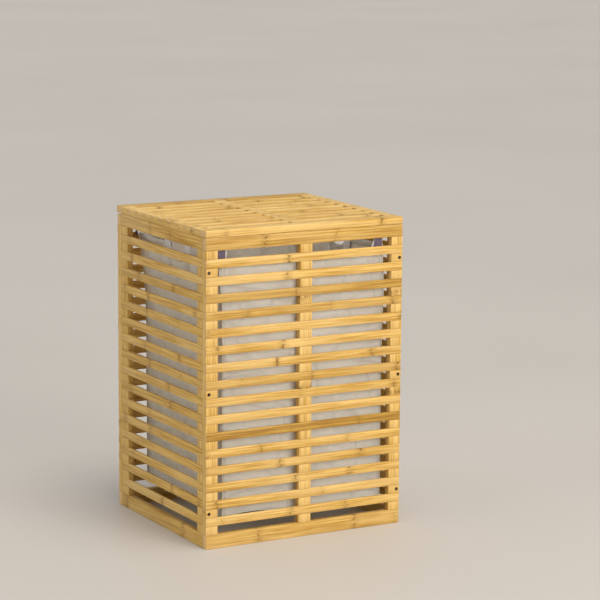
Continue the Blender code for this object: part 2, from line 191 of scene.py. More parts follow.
def bamboo_material(name):
    """Lacquered bamboo strip: lengthwise fibres, a joint mark here and there, dark speckled ends.

    The grain attribute is a place along, across and through the strip in metres, tone is how brown
    the strip is, and end_grain marks the sawn ends.
    """
    g = Graph(name)
    grain = g.attribute("grain", "Vector")
    tone = g.attribute("tone", "Fac")
    end = g.attribute("end_grain", "Fac")
    fibres = g.noise(g.scaled(grain, (14, 1500, 1500)), detail=3.0, roughness=0.65)
    streaks = g.noise(g.scaled(grain, (9, 390, 390)), detail=4.0, roughness=0.65)
    patches = g.noise(g.scaled(grain, (5, 45, 45)), detail=2.0)

    # joint marks: one in each stretch of strip, at a random place in it
    along = g.node("ShaderNodeSeparateXYZ", {0: grain})
    across = g.node("ShaderNodeSeparateXYZ", {0: grain}, output=1)
    stretch = g.math("DIVIDE", along, JOINT_SPACING)
    cell = g.math("FLOOR", stretch)
    luck = g.node("ShaderNodeTexWhiteNoise", {"W": cell}, noise_dimensions="1D")
    place = g.math("MULTIPLY_ADD", luck, 0.6, 0.2)
    wobble = g.math("MULTIPLY", g.noise(g.scaled(grain, (40, 230, 230)), detail=3.0), JOINT_WAVER)
    offset = g.math("SUBTRACT", g.math("ADD", g.math("FRACT", stretch), wobble), place)
    centred = g.math("SUBTRACT", offset, JOINT_WAVER / 2)
    distance = g.math("ABSOLUTE", g.math("MULTIPLY", centred, JOINT_SPACING))
    line = g.band(distance, 0.0006, 0.0024, 1.0, 0.0)
    halo = g.band(distance, 0.0, 0.014, 1.0, 0.0)
    blotch = g.band(g.noise(g.scaled(grain, (100, 330, 330)), detail=3.0), 0.40, 0.62)
    chance = g.node("ShaderNodeTexWhiteNoise", {"W": g.math("ADD", cell, 0.37)}, noise_dimensions="1D")
    strength = g.band(chance, 0.20, 0.75)
    stain = g.math("MULTIPLY", g.math("MULTIPLY_ADD", blotch, 0.68, 0.22), g.math("MULTIPLY", halo, strength))
    scar = g.math("MULTIPLY", g.math("MULTIPLY", line, blotch), g.math("MULTIPLY", strength, 0.80))

    colour = g.mix(g.band(streaks, 0.41, 0.60), PALE, PALE_STREAK)
    colour = g.mix(g.math("MULTIPLY", g.band(fibres, 0.46, 0.72), 0.55), colour, FIBRE)
    colour = g.mix(g.math("MULTIPLY", g.band(patches, 0.44, 0.62), 0.50), colour, PATCH)
    browned = g.mix(g.band(streaks, 0.38, 0.60), BROWN, BROWN_STREAK)
    colour = g.mix(tone, colour, browned)
    colour = g.mix(stain, colour, JOINT_STAIN)
    colour = g.mix(scar, colour, JOINT_SCAR)
    pores = g.node("ShaderNodeTexVoronoi", {"Vector": grain, "Scale": 1400.0})
    sawn = g.mix(g.band(pores, 0.15, 0.45), END_PORE, END_WALL)
    colour = g.mix(end, colour, sawn)
    rough = g.math("MULTIPLY_ADD", fibres, 0.22, 0.40)
    g.set(Base_Color=colour, Roughness=g.math("MAXIMUM", rough, g.math("MULTIPLY", end, 0.7)),
          Coat_Weight=0.06, Coat_Roughness=0.35, Specular_IOR_Level=0.25)
    furrows = g.math("ADD", streaks, g.math("MULTIPLY", scar, 1.6))
    height = g.math("ADD", g.math("MULTIPLY", fibres, 0.6), furrows)
    g.bump(height, 0.28, 0.0004)
    return g.material


def cloth_material(name, light, dark, thread=0.0011, fuzz=0.0, glow=0.0, creased=False):
    """Plain weave. The cloth attribute is a place on the flat cloth in metres, glow is how much light
    goes through, and creased cloth has broad folds and upright ribs, darkened along them by painted shade."""
    g = Graph(name)
    place = g.attribute("cloth", "Vector")
    turns = 2 * math.pi / thread
    u = g.node("ShaderNodeSeparateXYZ", {0: place})
    v = g.node("ShaderNodeSeparateXYZ", {0: place}, output=1)
    warp = g.math("SINE", g.math("MULTIPLY", u, turns))
    weft = g.math("SINE", g.math("MULTIPLY", v, turns))
    weave = g.math("MULTIPLY_ADD", g.math("MULTIPLY", warp, weft), 0.5, 0.5)
    slubs = g.noise(g.scaled(place, (900, 60, 60)), detail=3.0)
    clouds = g.noise(place, scale=11.0, detail=3.0)
    colour = g.mix(g.band(clouds, 0.35, 0.70), light, dark)
    colour = g.mix(g.math("MULTIPLY", weave, 0.10), colour, dark)
    colour = g.mix(g.math("MULTIPLY", g.band(slubs, 0.55, 0.75), 0.12), colour, dark)
    relief = g.math("MULTIPLY", g.math("MULTIPLY_ADD", slubs, 0.8, weave), 0.10)
    if creased:
        folds = [g.math("ABSOLUTE", g.math("SUBTRACT", g.noise(g.scaled(place, stretch), detail=1.5), 0.5))
                 for stretch in ((11, 5, 5), (4.5, 13, 13))]
        fold = g.math("MAXIMUM", *[g.band(line, 0.0, 0.035, 1.0, 0.0) for line in folds])
        rib_and_painted_shade = g.noise(g.scaled(place, (120, 5, 5)), detail=1.0)
        # Painted shade: the colour is darker along the folds and the ribs, standing in for the shade inside
        # the creases.
        colour = g.mix(g.math("MULTIPLY", fold, 0.16), colour, tuple(0.62 * part for part in dark))
        colour = g.mix(g.math("MULTIPLY", g.band(rib_and_painted_shade, 0.45, 0.65), 0.16), colour, dark)
        relief = g.math("ADD", relief, g.math("MULTIPLY_ADD", rib_and_painted_shade, 0.35, fold))
    g.set(Base_Color=colour, Roughness=0.88, Sheen_Weight=0.25 + fuzz, Sheen_Roughness=0.5,
          Specular_IOR_Level=0.2)
    g.bump(relief, 0.60, 0.0030 if creased else 0.0015)
    if glow:
        through = g.node("ShaderNodeBsdfTranslucent", {"Color": colour})
        both = g.node("ShaderNodeMixShader", {0: glow, 1: g.shader.outputs[0], 2: through})
        g.feed(g.tree.nodes["Material Output"].inputs["Surface"], both)
    return g.material


def metal_material(name, bright, dull, roughness):
    """Thin metal with a rubbed finish and fine scratches."""
    g = Graph(name)
    place = g.node("ShaderNodeTexCoord", output="Object")
    rubbed = g.noise(place, scale=260.0, detail=4.0)
    scratches = g.noise(g.scaled(place, (200, 2600, 2600)), detail=2.0)
    g.set(Base_Color=g.mix(g.band(rubbed, 0.40, 0.65), dull, bright), Metallic=1.0,
          Roughness=g.math("MULTIPLY_ADD", rubbed, 0.25, roughness))
    g.bump(scratches, 0.15, 0.0001)
    return g.material


def floor_material():
    g = Graph("studio_floor")
    place = g.node("ShaderNodeTexCoord", output="Object")
    cloud = g.noise(place, scale=0.8, detail=2.0)
    grit = g.noise(place, scale=90.0, detail=2.0)
    g.set(Base_Color=g.mix(g.band(cloud, 0.3, 0.7), (0.560, 0.505, 0.440), (0.530, 0.478, 0.415)),
          Roughness=g.math("MULTIPLY_ADD", grit, 0.15, 0.50))
    return g.material


BAMBOO = bamboo_material("bamboo_strip")
COTTON = cloth_material("liner_cotton", (0.940, 0.915, 0.840), (0.860, 0.830, 0.750),
                        glow=0.30, creased=True)
WEBBING = cloth_material("strap_webbing", (0.860, 0.850, 0.840), (0.740, 0.730, 0.715), thread=0.0022)
HOOK_TAPE = cloth_material("hook_tape", (0.200, 0.160, 0.225), (0.115, 0.090, 0.135),
                           thread=0.0016, fuzz=0.3)
BROWNED = metal_material("browned_screw", (0.170, 0.140, 0.105), (0.050, 0.040, 0.030), roughness=0.30)
BRASSED = metal_material("brassed_steel", (0.780, 0.600, 0.300), (0.520, 0.380, 0.170), roughness=0.22)
PIN_STEEL = metal_material("pin_steel", (0.620, 0.600, 0.570), (0.380, 0.370, 0.350), roughness=0.25)


# ---------------------------------------------------------------------------
# Bamboo strips
# ---------------------------------------------------------------------------
rng = random.Random(7)
EASE = 0.0012                # rounding of a strip's edges
NOTCH_EASE = 0.0005          # rounding of a notched strip's edges
STRIP_PROUD = 0.00012        # most that a slat stands proud of its stiles
HEAD_SLACK = 0.0003          # round a screw's head in its hole
HEAD_HOLE = 0.0036           # depth of the hole

# How brown a strip is, from 0 to 1. The front's levels count up from the bottom.
FRONT_RAIL_TONES = {"top": 0.42, "bottom": 0.34}
FRONT_TONES = {3: 0.66, 4: 0.42, 5: 0.08, 6: 0.02, 8: 0.40, 10: 0.06, 11: 0.88}
BACK_RAIL_TONES = {"bottom": 0.12, "top": 0.20}
SIDE_TOP_TONE = 0.28
LID_RAIL_TONES = {"front": 0.05, "back": 0.65}


class Strips:
    """Mesh of one or more bamboo strips, each with its own stretch of grain and its own tone."""

    def __init__(self):
        self.shape = bmesh.new()
        self.grain = self.shape.verts.layers.float_vector.new("grain")
        self.tone = self.shape.verts.layers.float.new("tone")
        self.sawn = self.shape.faces.layers.float.new("end_grain")

    def _finish(self, verts, along, tone, ease):
        """Rounds the edges of the new strip and writes its grain."""
        order = (along, (along + 1) % 3, (along + 2) % 3)
        faces = {face for vert in verts for face in vert.link_faces}
        for face in faces:
            face[self.sawn] = 1.0 if abs(face.normal[along]) > 0.9 else 0.0
        edges = list({edge for face in faces for edge in face.edges})
        known = set(self.shape.verts) - set(verts)
        bmesh.ops.bevel(self.shape, geom=edges, offset=ease, segments=2, profile=0.5, affect="EDGES")
        start = Vector([rng.uniform(0, 40) for _ in range(3)])
        for vert in self.shape.verts:
            if vert not in known:
                vert[self.grain] = Vector([vert.co[axis] for axis in order]) + start
                vert[self.tone] = tone

    def block(self, low, high, along, tone=0.0, ease=EASE):
        made = bmesh.ops.create_cube(self.shape, size=1.0)["verts"]
        low, high = Vector(low), Vector(high)
        for vert in made:
            vert.co = Vector([(low[k] + high[k]) / 2 + vert.co[k] * (high[k] - low[k]) for k in range(3)])
        self.shape.normal_update()
        self._finish(made, along, tone, ease)

    def notched(self, axes, length, depth, width, notches, notch_depth, tone=0.0):
        """Strip along axes[0] with notches cut into its outer face, which is at depth[0]."""
        inward = 1 if depth[1] > depth[0] else -1
        floor = depth[0] + inward * notch_depth
        outline = [(length[0], depth[0])]
        for start, end in notches:
            outline += [(start, depth[0]), (start, floor), (end, floor), (end, depth[0])]
        outline += [(length[1], depth[0]), (length[1], depth[1]), (length[0], depth[1])]
        rings = []
        for side in width:
            ring = []
            for along_at, depth_at in outline:
                place = [0.0, 0.0, 0.0]
                place[axes[0]], place[axes[1]], place[axes[2]] = along_at, depth_at, side
                ring.append(self.shape.verts.new(place))
            rings.append(ring)
        faces = [self.shape.faces.new(rings[0]), self.shape.faces.new(rings[1])]
        count = len(outline)
        for i in range(count):
            j = (i + 1) % count
            faces.append(self.shape.faces.new((rings[0][i], rings[0][j], rings[1][j], rings[1][i])))
        bmesh.ops.recalc_face_normals(self.shape, faces=faces)
        self.shape.normal_update()
        self._finish(rings[0] + rings[1], axes[0], tone, NOTCH_EASE)

    def build(self, name, body, nodes):
        mesh = finished(name, self.shape)
        piece = new_object(name, mesh)
        mesh.materials.append(BAMBOO)
        mesh.shade_smooth()
        mesh.set_sharp_from_angle(angle=math.radians(35))
        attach(piece, body)
        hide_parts(*nodes)
        return piece


def some_tone(base=0.0, spread=0.24):
    return max(0.0, base + rng.uniform(0.0, spread))


def box_strip(name, node, along, body, tone):
    strips = Strips()
    strips.block(*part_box(node), along, tone)
    return strips.build(name, body, [node])


# Front panel
for level, rail_tone in FRONT_RAIL_TONES.items():
    box_strip(f"front_{level}_rail_strip", f"front_{level}_rail", X, BODY, rail_tone)
for number in range(1, SLAT_COUNT + 1):
    strip_tone = FRONT_TONES.get(number, some_tone())
    low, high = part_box(f"front_slat_{number:02d}")
    low.y -= rng.uniform(0, STRIP_PROUD)
    strips = Strips()
    strips.block(low, high, X, strip_tone)
    strips.build(f"front_strip_{number:02d}", BODY, [f"front_slat_{number:02d}"])

slat_notches = [(low - NOTCH_SLACK, high + NOTCH_SLACK) for low, high in reversed(SLAT_LEVELS)]
STILE_SPAN = {side: (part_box(f"front_{side}_stile")[0].x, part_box(f"front_{side}_stile")[1].x)
              for side in ("left", "middle", "right")}


def drill(piece, holes, radius, depth):
    """Round holes into the piece's face for screw heads, cut and applied."""
    cutter_shape = bmesh.new()
    for hole in holes:
        turn = Matrix.Translation(hole) @ Matrix.Rotation(math.pi / 2, 4, "X")
        bmesh.ops.create_cone(cutter_shape, cap_ends=True, segments=24, radius1=radius, radius2=radius,
                              depth=2 * depth, matrix=turn)
    cutter = new_object("drill", finished("drill", cutter_shape))
    boolean = piece.modifiers.new("holes", "BOOLEAN")
    boolean.object = cutter
    boolean.operation = "DIFFERENCE"
    cut_mesh = applied(piece)
    piece.modifiers.clear()
    piece.data = cut_mesh
    bpy.data.objects.remove(cutter)


# Stiles of the front and the back
for face, outer, inner in (("front", FRONT, FRONT_INNER), ("back", BACK, BACK_INNER)):
    for side, span in STILE_SPAN.items():
        strips = Strips()
        strips.notched((Z, Y, X), (RAIL_TOP, LATTICE_TOP), (outer, inner), span, slat_notches,
                       SLAT_DEPTH + NOTCH_SLACK, some_tone(0.02, 0.08))
        replaced = f"front_{side}_stile" if face == "front" else "back_panel"
        stile = strips.build(f"{face}_{side}_stile_strip", BODY, [replaced])
        if side != "middle":
            heads = []
            for level in LEVELS:
                screw_low, screw_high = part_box(f"{face}_screw_{side}_{level}")
                centre = (screw_low + screw_high) / 2
                heads.append((centre.x, outer, centre.z))
            drill(stile, heads, (screw_high.x - screw_low.x) / 2 + HEAD_SLACK, HEAD_HOLE)

# Back panel: rails and slats
strips = Strips()
strips.block((-HALF, BACK_INNER, 0), (HALF, BACK, RAIL_TOP), X, BACK_RAIL_TONES["bottom"])
strips.block((-HALF, BACK_INNER, LATTICE_TOP), (HALF, BACK, BACK_TOP), X, BACK_RAIL_TONES["top"])
strips.build("back_rail_strips", BODY, ["back_panel"])
strips = Strips()
for low, high in SLAT_LEVELS:
    strips.block((-HALF, BACK - SLAT_DEPTH, low), (HALF, BACK + rng.uniform(0, STRIP_PROUD), high), X,
                 some_tone(0.02, 0.30))
strips.build("back_slat_strips", BODY, ["back_panel"])

# Side panels
for side, sign in (("left", -1), ("right", 1)):
    node = f"{side}_side_panel"
    outer, inner = sign * HALF, sign * SIDE_INNER
    across = sorted((outer, inner))
    strips = Strips()
    strips.block((across[0], SIDE_START, 0), (across[1], SIDE_END, RAIL_TOP), Y, some_tone(0.30, 0.1))
    strips.block((across[0], SIDE_START, LATTICE_TOP), (across[1], SIDE_END, BODY_TOP), Y, SIDE_TOP_TONE)
    strips.build(f"{side}_rail_strips", BODY, [node])
    strips = Strips()
    for span in ((SIDE_START, SIDE_START + SIDE_FRONT_STILE), (SIDE_END - SIDE_BACK_STILE, SIDE_END)):
        strips.notched((Z, X, Y), (RAIL_TOP, LATTICE_TOP), (outer, inner), span, slat_notches,
                       SLAT_DEPTH + NOTCH_SLACK, some_tone(0.20, 0.08))
    strips.build(f"{side}_stile_strips", BODY, [node])
    strips = Strips()
    for low, high in SLAT_LEVELS:
        face_at = outer + sign * rng.uniform(0, STRIP_PROUD)
        across = sorted((face_at, outer - sign * SLAT_DEPTH))
        strips.block((across[0], SIDE_START, low), (across[1], SIDE_END, high), Y, some_tone(0.12, 0.34))
    strips.build(f"{side}_slat_strips", BODY, [node])

# Lid
for face, rail_tone in LID_RAIL_TONES.items():
    box_strip(f"lid_{face}_rail_strip", f"lid_{face}_rail", X, LID, rail_tone)
lid_levels = []
for number in range(1, LID_SLAT_COUNT + 1):
    low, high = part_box(f"lid_slat_{number}")
    lid_levels.append((low.y, high.y))
    strips = Strips()
    strips.block(low, high, X, some_tone(0.0, 0.14))
    strips.build(f"lid_strip_{number}", LID, [f"lid_slat_{number}"])
lid_notches = [(low - NOTCH_SLACK, high + NOTCH_SLACK) for low, high in lid_levels]
for side, span in STILE_SPAN.items():
    low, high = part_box(f"lid_{side}_stile")
    strips = Strips()
    strips.notched((Y, Z, X), (low.y, high.y), (LID_TOP, LID_UNDERSIDE), span, lid_notches,
                   SLAT_DEPTH + NOTCH_SLACK, some_tone(0.05, 0.10))
    strips.build(f"lid_{side}_stile_strip", LID, [f"lid_{side}_stile"])


# ---------------------------------------------------------------------------
# Liner: a cotton bag hung from its corners
# ---------------------------------------------------------------------------
NEAR = 1e-5                  # places closer than this are one place
CELL = 0.0115                # size of the cloth's mesh
HEM_DEPTH = 0.012
HEM = 0.549                  # height of the hem at the corners and sides
FRONT_DROP = 0.009           # the front hem hangs lower
BACK_DROP = 0.002            # and the back one a little
DROP_REACH = 0.03            # from a corner to where the hem hangs its full drop
SCOOP = 0.021                # dip of the side hems between the handle's legs
SCOOP_FLAT, SCOOP_EASE = 0.014, 0.022    # half of the dip's level part, and its rise beside that
DROP_BLEND = 0.09            # height over which the walls take up the hem's drop
HANDLE_LEG = 0.042           # from the wall's middle to a leg's
BAG_BOTTOM = liner_low.z + 0.003
BAG_HALF = liner_high.x - 0.0005
BAG_FRONT = liner_low.y + 0.001
BAG_BACK = liner_high.y - 0.001
BAG_MIDDLE = (BAG_FRONT + BAG_BACK) / 2
SIM_FRAMES = 45
CORNER_HOLD = 0.03           # the hem is held firmly this close to a corner
LOOSE_HOLD = 0.45            # how firmly the rest of it is held
MOST_SAG = (0.004, 0.005, 0.010)
PANEL_GAP = 0.0015           # between the cloth's middle and a panel it meets
LOWEST = 0.030               # the cloth stays above this height
UNDER_LID = 0.02             # and this far below the lid
LEAN = 0.007                 # the bag hangs this much towards +X below its hem
LEAN_BLEND = 0.10            # height over which it takes up that lean
LIFT = 0.0065                # pucker of the bottom seam left of the front's middle
LIFT_X, LIFT_REACH = -0.105, 0.095
LIFT_HEIGHT, LIFT_DEPTH = 0.06, 0.12
SEAM_RADIUS = 0.0012
STITCH_RADIUS = 0.0004
STITCH_PROUD = 0.00045       # from the middle of the cloth to a stitch's
HEM_THICKNESS = 0.0028
STRAP_HALF = 0.010
STRAP_X = {"left": -0.1690, "right": 0.1635}


def on_side(place):
    return abs(abs(place[X]) - BAG_HALF) < NEAR


def on_face(place):
    return min(abs(place[Y] - BAG_FRONT), abs(place[Y] - BAG_BACK)) < NEAR


def smooth_step(value):
    value = min(1.0, max(0.0, value))
    return value * value * (3 - 2 * value)


def hem_drop(place):
    """How far the hem lies below HEM over a place on the bag's walls."""
    if on_side(place):
        return SCOOP * (1 - smooth_step((abs(place[Y] - BAG_MIDDLE) - SCOOP_FLAT) / SCOOP_EASE))
    drop = FRONT_DROP if abs(place[Y] - BAG_FRONT) < NEAR else BACK_DROP
    return drop * smooth_step((BAG_HALF - abs(place[X])) / DROP_REACH)


def bag_mesh():
    """Open box of even square cells, with its flat-cloth places in the cloth attribute."""
    shape = bmesh.new()
    bmesh.ops.create_cube(shape, size=1.0)
    low = Vector((-BAG_HALF, BAG_FRONT, BAG_BOTTOM))
    high = Vector((BAG_HALF, BAG_BACK, HEM))
    for vert in shape.verts:
        vert.co = Vector([(low[k] + high[k]) / 2 + vert.co[k] * (high[k] - low[k]) for k in range(3)])
    bmesh.ops.delete(shape, geom=[f for f in shape.faces if f.normal.z > 0.5], context="FACES_ONLY")
    for axis in range(3):
        steps = round((high[axis] - low[axis]) / CELL)
        normal = Vector([1.0 if k == axis else 0.0 for k in range(3)])
        for step in range(1, steps):
            at = low + normal * (high[axis] - low[axis]) * step / steps
            bmesh.ops.bisect_plane(shape, geom=shape.verts[:] + shape.edges[:] + shape.faces[:],
                                   plane_co=at, plane_no=normal, dist=1e-6)
    cloth = shape.verts.layers.float_vector.new("cloth")
    flat_place = shape.verts.layers.float_vector.new("rest")
    for vert in shape.verts:
        x, y, z = vert.co
        vert[flat_place] = vert.co
        if on_side(vert.co):
            vert[cloth] = (math.copysign(BAG_HALF, x) * 2 + math.copysign(1, x) * y, z, 0)
        elif on_face(vert.co):
            vert[cloth] = (x, z, 0)
        else:
            vert[cloth] = (x, y, 0)
    seam = shape.edges.layers.float.new("crease_edge")
    for edge in shape.edges:
        a, b = (vert.co for vert in edge.verts)
        low_edge = max(a.z, b.z) < BAG_BOTTOM + NEAR and all(on_side(p) or on_face(p) for p in (a, b))
        if low_edge and (on_side(a) and on_side(b) or on_face(a) and on_face(b)):
            edge[seam] = 1.0
        if all(on_side(p) and on_face(p) for p in (a, b)):
            edge[seam] = 1.0
    for vert in shape.verts:
        share = min(1.0, max(0.0, (vert.co.z - HEM + DROP_BLEND) / DROP_BLEND))
        vert.co.z -= share * hem_drop(vert.co)
    bmesh.ops.recalc_face_normals(shape, faces=shape.faces)
    return finished("liner_cloth", shape)


def add_piece(name, mesh, material, body):
    """A smooth-shaded piece of one material, riding on its body."""
    piece = new_object(name, mesh)
    mesh.materials.clear()
    mesh.materials.append(material)
    mesh.shade_smooth()
    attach(piece, body)
    return piece


def hang(mesh, flat_places):
    """Lets the bag sag from its hem and returns where its points come to rest."""
    bag = new_object("liner_sim", mesh)
    held = bag.vertex_groups.new(name="held")
    for index, place in enumerate(flat_places):
        if place[Z] > HEM - NEAR:
            from_corner = (BAG_HALF - abs(place[X])) + min(place[Y] - BAG_FRONT, BAG_BACK - place[Y])
            held.add([index], 1.0 if from_corner < CORNER_HOLD else LOOSE_HOLD, "REPLACE")
    cloth = bag.modifiers.new("cloth", "CLOTH")
    settings = cloth.settings
    settings.quality = 6
    settings.mass = 0.18
    settings.tension_stiffness = 18
    settings.compression_stiffness = 14
    settings.shear_stiffness = 6
    settings.bending_stiffness = 0.8
    settings.tension_damping = 12
    settings.compression_damping = 12
    settings.shear_damping = 8
    settings.bending_damping = 1.0
    settings.air_damping = 3.0
    settings.shrink_min = -0.016
    settings.vertex_group_mass = "held"
    cloth.collision_settings.use_collision = False
    start = np.array([v.co for v in mesh.vertices])
    scene = bpy.context.scene
    for step in range(1, SIM_FRAMES + 1):
        scene.frame_set(step)
    depsgraph = bpy.context.evaluated_depsgraph_get()
    result = bag.evaluated_get(depsgraph).to_mesh()
    moved = np.array([v.co for v in result.vertices])
    bag.evaluated_get(depsgraph).to_mesh_clear()
    bpy.data.objects.remove(bag)
    scene.frame_set(1)
    most = np.array(MOST_SAG)
    return start + most * np.tanh((moved - start) / most)


def keep_clear(points):
    """Cloth that meets a panel lies flat on it."""
    points[:, X] = np.clip(points[:, X], -SIDE_INNER + PANEL_GAP, SIDE_INNER - PANEL_GAP)
    points[:, Y] = np.clip(points[:, Y], FRONT_INNER + PANEL_GAP, BACK_INNER - PANEL_GAP)
    points[:, Z] = np.clip(points[:, Z], LOWEST, LID_UNDERSIDE - UNDER_LID)
    return points


def settle(points, flat):
    """The bag's lean, and the pucker of its bottom seam."""
    for point, place in zip(points, flat):
        above = place[Z] - BAG_BOTTOM
        point[X] += LEAN * smooth_step((HEM - place[Z]) / LEAN_BLEND)
        near = smooth_step(1 - abs(place[X] - LIFT_X) / LIFT_REACH) * smooth_step(1 - above / LIFT_HEIGHT)
        point[Z] += LIFT * near * smooth_step(1 - (place[Y] - BAG_FRONT) / LIFT_DEPTH)
    return points


def rounded(mesh):
    """The mesh with one level of subdivision, sharp along its seams."""
    holder = new_object("rounding", mesh)
    smoothing = holder.modifiers.new("rounding", "SUBSURF")
    smoothing.levels = 1
    made = applied(holder)
    bpy.data.objects.remove(holder)
    return made


FINE, BROAD, RIDGE = 0.0011, 0.0030, 0.0021     # heights of the wrinkles
HEM_SHARE = 0.15             # share of those heights that is left at the hem
HEM_CALM = 0.01              # depth of the cloth that keeps to that share
WRINKLE_BLEND = 0.07         # height over which the wrinkles grow to their full height


def wrinkle(mesh):
    """Fine upright wrinkles and a few slanting creases, too small for the simulation's cells.

    The cloth is nearly flat close to its hem.
    """
    places = [Vector(item.vector) for item in mesh.attributes["rest"].data]
    for vert, place in zip(mesh.vertices, places):
        upright = noise.noise(Vector((place.x * 42, place.y * 42, place.z * 5)))
        broad = noise.noise(Vector((place.x * 15 + 5, place.y * 15, place.z * 9)))
        slant = noise.noise(Vector(((place.x + place.y) * 16 + place.z * 22, place.z * 9 - place.x * 5, 3.1)))
        across = noise.noise(Vector((place.x * 7 + place.z * 6, place.y * 7, place.z * 17 - place.x * 8)))
        ridge = max(0.0, 1 - 7 * abs(slant)) ** 2 + max(0.0, 1 - 9 * abs(across)) ** 2
        free = smooth_step((HEM - HEM_CALM - place.z) / WRINKLE_BLEND)
        share = HEM_SHARE + (1 - HEM_SHARE) * free
        vert.co += vert.normal * share * (FINE * upright + BROAD * broad + RIDGE * ridge)


cage = bag_mesh()
flat_places = [tuple(item.vector) for item in cage.attributes["rest"].data]
sagged = hang(cage.copy(), flat_places)
hung_points = settle(sagged, flat_places)
cage.vertices.foreach_set("co", keep_clear(hung_points).astype(np.float32).ravel())
cage.update()
cloth_mesh = rounded(cage)
wrinkle(cloth_mesh)
cloth_points = keep_clear(np.array([v.co for v in cloth_mesh.vertices]))
cloth_mesh.vertices.foreach_set("co", cloth_points.astype(np.float32).ravel())
cloth_mesh.update()
liner = add_piece("liner_cloth_bag", cloth_mesh, COTTON, BODY)
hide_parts("liner_bag")


def rest_index(test):
    """The bag's points whose places before hanging pass the test."""
    return [index for index, place in enumerate(flat_places) if test(place)]


def around(indices):
    """The indices in order round the bag."""
    return sorted(indices, key=lambda i: math.atan2(flat_places[i][Y] - BAG_MIDDLE, flat_places[i][X]))


def tube(name, paths, radius, closed, material):
    """Piping along one or more paths, as a mesh."""
    data = bpy.data.curves.new(name, "CURVE")
    data.dimensions = "3D"
    data.bevel_depth = radius
    data.bevel_resolution = 2
    data.use_fill_caps = True
    for path in paths:
        spline = data.splines.new("POLY")
        spline.points.add(len(path) - 1)
        for point, place in zip(spline.points, path):
            point.co = (*place, 1.0)
        spline.use_cyclic_u = closed
    holder = new_object(name + "_line", data)
    mesh = applied(holder)
    bpy.data.objects.remove(holder)
    places = mesh.attributes.new("cloth", "FLOAT_VECTOR", "POINT")
    places.data.foreach_set("vector", np.array([v.co for v in mesh.vertices], np.float32).ravel())
    return add_piece(name, mesh, material, BODY)


# Seams down the corners and round the bottom
corner_lines = []
for sign in (-1, 1):
    for wall in (BAG_FRONT, BAG_BACK):
        column = rest_index(lambda p: abs(p[X] - sign * BAG_HALF) < NEAR and abs(p[Y] - wall) < NEAR)
        corner_lines.append([hung_points[i] for i in sorted(column, key=lambda i: flat_places[i][Z])])
tube("liner_corner_seams", corner_lines, SEAM_RADIUS, False, COTTON)
bottom_loop = around(rest_index(lambda p: abs(p[Z] - BAG_BOTTOM) < NEAR and (on_side(p) or on_face(p))))
bottom_line = [hung_points[i] for i in bottom_loop]
tube("liner_bottom_seam", [bottom_line], SEAM_RADIUS, True, COTTON)


def stitching():
    """Lines down both sides of each corner, on the cloth's outer face."""
    half = CELL / 2
    places = [item.vector.copy() for item in cloth_mesh.attributes["rest"].data]
    lines = []
    for sign in (-1, 1):
        for wall in (BAG_FRONT, BAG_BACK):
            corner = (sign * BAG_HALF, wall)
            for axis in (0, 1):
                other = 1 - axis
                line = [i for i, place in enumerate(places) if abs(place[other] - corner[other]) < 0.001
                        and abs(abs(place[axis] - corner[axis]) - half) < 0.0015]
                line.sort(key=lambda i: places[i].z)
                verts = [cloth_mesh.vertices[i] for i in line]
                lines.append([vert.co + vert.normal * STITCH_PROUD for vert in verts])
    return [line for line in lines if len(line) > 2]


tube("liner_stitching", stitching(), STITCH_RADIUS, False, COTTON)


def hem_mesh():
    """The bag's top edge, to be thickened into a fold."""
    shape = bmesh.new()
    shape.from_mesh(cloth_mesh)
    flat_place = shape.verts.layers.float_vector["rest"]
    below = [face for face in shape.faces
             if min(vert[flat_place].z for vert in face.verts) < HEM - HEM_DEPTH]
    bmesh.ops.delete(shape, geom=below, context="FACES")
    return finished("liner_hem", shape)


hem = add_piece("liner_hem", hem_mesh(), COTTON, BODY)
hem_skin = hem.modifiers.new("folded", "SOLIDIFY")
hem_skin.thickness = HEM_THICKNESS
hem_skin.offset = 0.0


def ribbon(name, path, across, width, thickness, material):
    """Flat webbing along a path, its outer edges chamfered. across is the width's way at each point."""
    shape = bmesh.new()
    cloth = shape.verts.layers.float_vector.new("cloth")
    rows = []
    travelled = 0.0
    for i, place in enumerate(path):
        place = Vector(place)
        ahead = Vector(path[min(i + 1, len(path) - 1)]) - Vector(path[max(i - 1, 0)])
        side = Vector(across[i]).normalized()
        out = ahead.normalized().cross(side).normalized()
        if i:
            travelled += (place - Vector(path[i - 1])).length
        row = []
        for u, v in ((-1, -1), (-0.9, 1), (0.9, 1), (1, -1)):
            vert = shape.verts.new(place + side * (u * width / 2) + out * (v * thickness / 2))
            vert[cloth] = (u * width / 2, travelled, 0)
            row.append(vert)
        rows.append(row)
    for a, b in zip(rows, rows[1:]):
        for k in range(4):
            m = (k + 1) % 4
            shape.faces.new((a[k], a[m], b[m], b[k]))
    shape.faces.new(rows[0])
    shape.faces.new(rows[-1])
    bmesh.ops.recalc_face_normals(shape, faces=shape.faces)
    mesh = finished(name, shape)
    piece = add_piece(name, mesh, material, BODY)
    mesh.set_sharp_from_angle(angle=math.radians(50))
    return piece


def smooth_path(points, steps=6):
    """Points on a smooth curve through the given ones."""
    ends = [Vector(p) for p in (points[0], *points, points[-1])]
    path = []
    for i in range(1, len(ends) - 2):
        for step in range(steps):
            t = step / steps
            a, b, c, d = ends[i - 1], ends[i], ends[i + 1], ends[i + 2]
            path.append(0.5 * (2 * b + (c - a) * t + (2 * a - 5 * b + 4 * c - d) * t * t
                               + (3 * b - a - 3 * c + d) * t ** 3))
    path.append(ends[-2])
    return path


